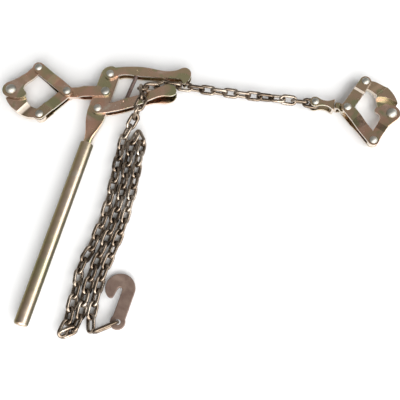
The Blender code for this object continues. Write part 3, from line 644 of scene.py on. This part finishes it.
def folded_chain():
    """Its piece, and the points where one link hangs in the next."""
    stops = walk(spare_chain_route(), LINK_PITCH)
    work = bmesh.new()
    for i, (one, two) in enumerate(zip(stops, stops[1:])):
        along = (two - one).normalized()
        level = Z_AXIS.cross(along).normalized()
        up = along.cross(level)
        roll = math.radians((LINK_ROLL if i % 2 else -LINK_ROLL) + ROLL_STRAY * math.sin(2.1 * i))
        across = level * math.cos(roll) + up * math.sin(roll)
        add_link(work, (one + two) / 2, along, across, along.cross(across))
    return piece("spare_chain", work, "folded_chain", smooth_below=60), stops


# ---------------------------------------------------------------- tube and spring

WALL_RINGS = 12


def handle_tube():
    """A drawn tube with a rolled mouth round the shank and a closed, slightly crowned foot."""
    points = cad_points("handle_tube")
    _, along, _, _ = own_axes(points)
    along = along if along.y > 0 else -along
    along = Vector((along.x, along.y, 0)).normalized()
    low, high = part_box("handle_tube")
    centre = (low + high) / 2
    spread = (points - np.array(centre)) @ np.array(along)
    half = (spread.max() - spread.min()) / 2
    r = (high.z - low.z) / 2
    bore, bore_end = 0.74 * r, half - 20 * MM
    foot = -half + 3 * MM       # where the crowned foot ends and the straight wall begins
    lip = 0.9 * MM
    profile = [(0, -half), (r - 4 * MM, -half), (r - 1.6 * MM, -half + 0.6 * MM), (r, foot)]
    profile += [(r, foot + (2 * half - 4 * MM) * i / WALL_RINGS) for i in range(1, WALL_RINGS)]
    profile += [(r, half - lip), (r - lip, half), (bore, half), (bore, bore_end), (0, bore_end)]
    work = bmesh.new()
    lathe(work, rounded(profile, 0.8 * MM), centre, along, sides=72)
    return piece("handle_tube_fine", work, "handle_tube")


COIL_TURNS = 18             # in each half of the spring
COIL_STEPS = 14             # a turn
COIL_R = 2.5 * MM
COIL_WIRE_R = 0.55 * MM
SPRING_HOOK_R = 2.9 * MM
SPRING_NECK = 3.0 * MM      # from the hook to the first turn


def coil_half(name, pin_at, middle):
    """Half of the tension spring, from the hook over its pin to the middle of its body."""
    along = (middle - pin_at).normalized()
    side = along.cross(Z_AXIS)
    hook_turns = [math.radians(d) for d in range(-120, 150, 18)]
    line = [pin_at - along * SPRING_HOOK_R * math.cos(a) + side * SPRING_HOOK_R * math.sin(a)
            for a in hook_turns]
    start = pin_at + along * (SPRING_HOOK_R + SPRING_NECK)
    run = (middle - start).length
    for i in range(COIL_TURNS * COIL_STEPS + 1):
        a = 2 * math.pi * i / COIL_STEPS
        grow = min(1, 0.25 + i / COIL_STEPS)
        line.append(start + along * run * i / (COIL_TURNS * COIL_STEPS)
                    + (side * math.cos(a) + Z_AXIS * math.sin(a)) * COIL_R * grow)
    work = bmesh.new()
    tube(work, line, COIL_WIRE_R, 8)
    made = piece(name, work, "claw_spring", rides=False, smooth_below=70)
    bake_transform(made)


def tube(work, line, radius, sides):
    """A round wire along a line, capped."""
    side = None
    rings = []
    for i, p in enumerate(line):
        ahead = (line[min(i + 1, len(line) - 1)] - line[max(i - 1, 0)]).normalized()
        side = ahead.orthogonal() if side is None else side - ahead * side.dot(ahead)
        side.normalize()
        up = ahead.cross(side)
        rings.append([work.verts.new(p + (side * math.cos(2 * math.pi * k / sides)
                                          + up * math.sin(2 * math.pi * k / sides)) * radius)
                      for k in range(sides)])
    for one, two in zip(rings, rings[1:]):
        for k in range(sides):
            m = (k + 1) % sides
            work.faces.new((one[k], one[m], two[m], two[k]))
    work.faces.new(rings[0][::-1])
    work.faces.new(rings[-1])


def spring():
    """The spring's two halves, one to each claw's pin."""
    ends = []
    for claw in ("upper", "lower"):
        low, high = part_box(f"{claw}_spring_pin")
        ends.append((low + high) / 2)
    middle = (ends[0] + ends[1]) / 2
    coil_half("spring_upper_half", ends[0], middle)
    coil_half("spring_lower_half", ends[1], middle)


# ---------------------------------------------------------------- everything

def make_pieces():
    """All but the spare chain and the long link, which are made first."""
    for node in ("upper_claw_rivet", "draw_rivet", "lower_claw_rivet", "fork_rivet"):
        rivet(node)
    for side in ("left", "right"):
        for role in ("swivel_rivet", "cam_rivet", "hook_rivet", "jaw_stud"):
            rivet(f"{side}_{role}")
        for plate in ("long_link_front", "long_link_back", "short_link_front", "short_link_back"):
            # the right grip's short links get the painted highlight on their slopes
            look = "painted_slope_plate" if side == "right" and plate.startswith("short") else None
            refined(f"{side}_{plate}", 0.35 * MM, look=look)
        refined(f"{side}_cam_jaw", 0.6 * MM)
        # the left hook jaw gets the painted highlight on its slopes
        look = "painted_slope_plate" if side == "left" else None
        refined(f"{side}_hook_jaw", 0.6 * MM, bends_from=25, look=look)
    for plate in ("upper_claw_front", "upper_claw_back", "lower_claw_front", "lower_claw_back",
                  "draw_link_front", "draw_link_back"):
        refined(plate, 0.4 * MM)
    refined("lever_head", 0.9 * MM, bends_from=38)
    refined("chain_fork", 0.35 * MM)
    refined("grip_clevis", 0.35 * MM)
    refined("swivel_pin", 0.3 * MM)
    refined("grab_hook", 1.1 * MM, bends_from=38)
    spring_pin("upper_spring_pin")
    spring_pin("lower_spring_pin")
    handle_tube()
    spring()
    for node in sorted(SLOT_OF):
        if node.startswith(("tight_link", "slack_link")):
            single_link(node)


make_camera()
chain, stops = folded_chain()
long_link = single_link("hook_link", end=LONG_LINK_END, bend=LONG_LINK_ARC_R)
make_pieces()
make_floor()
make_light()
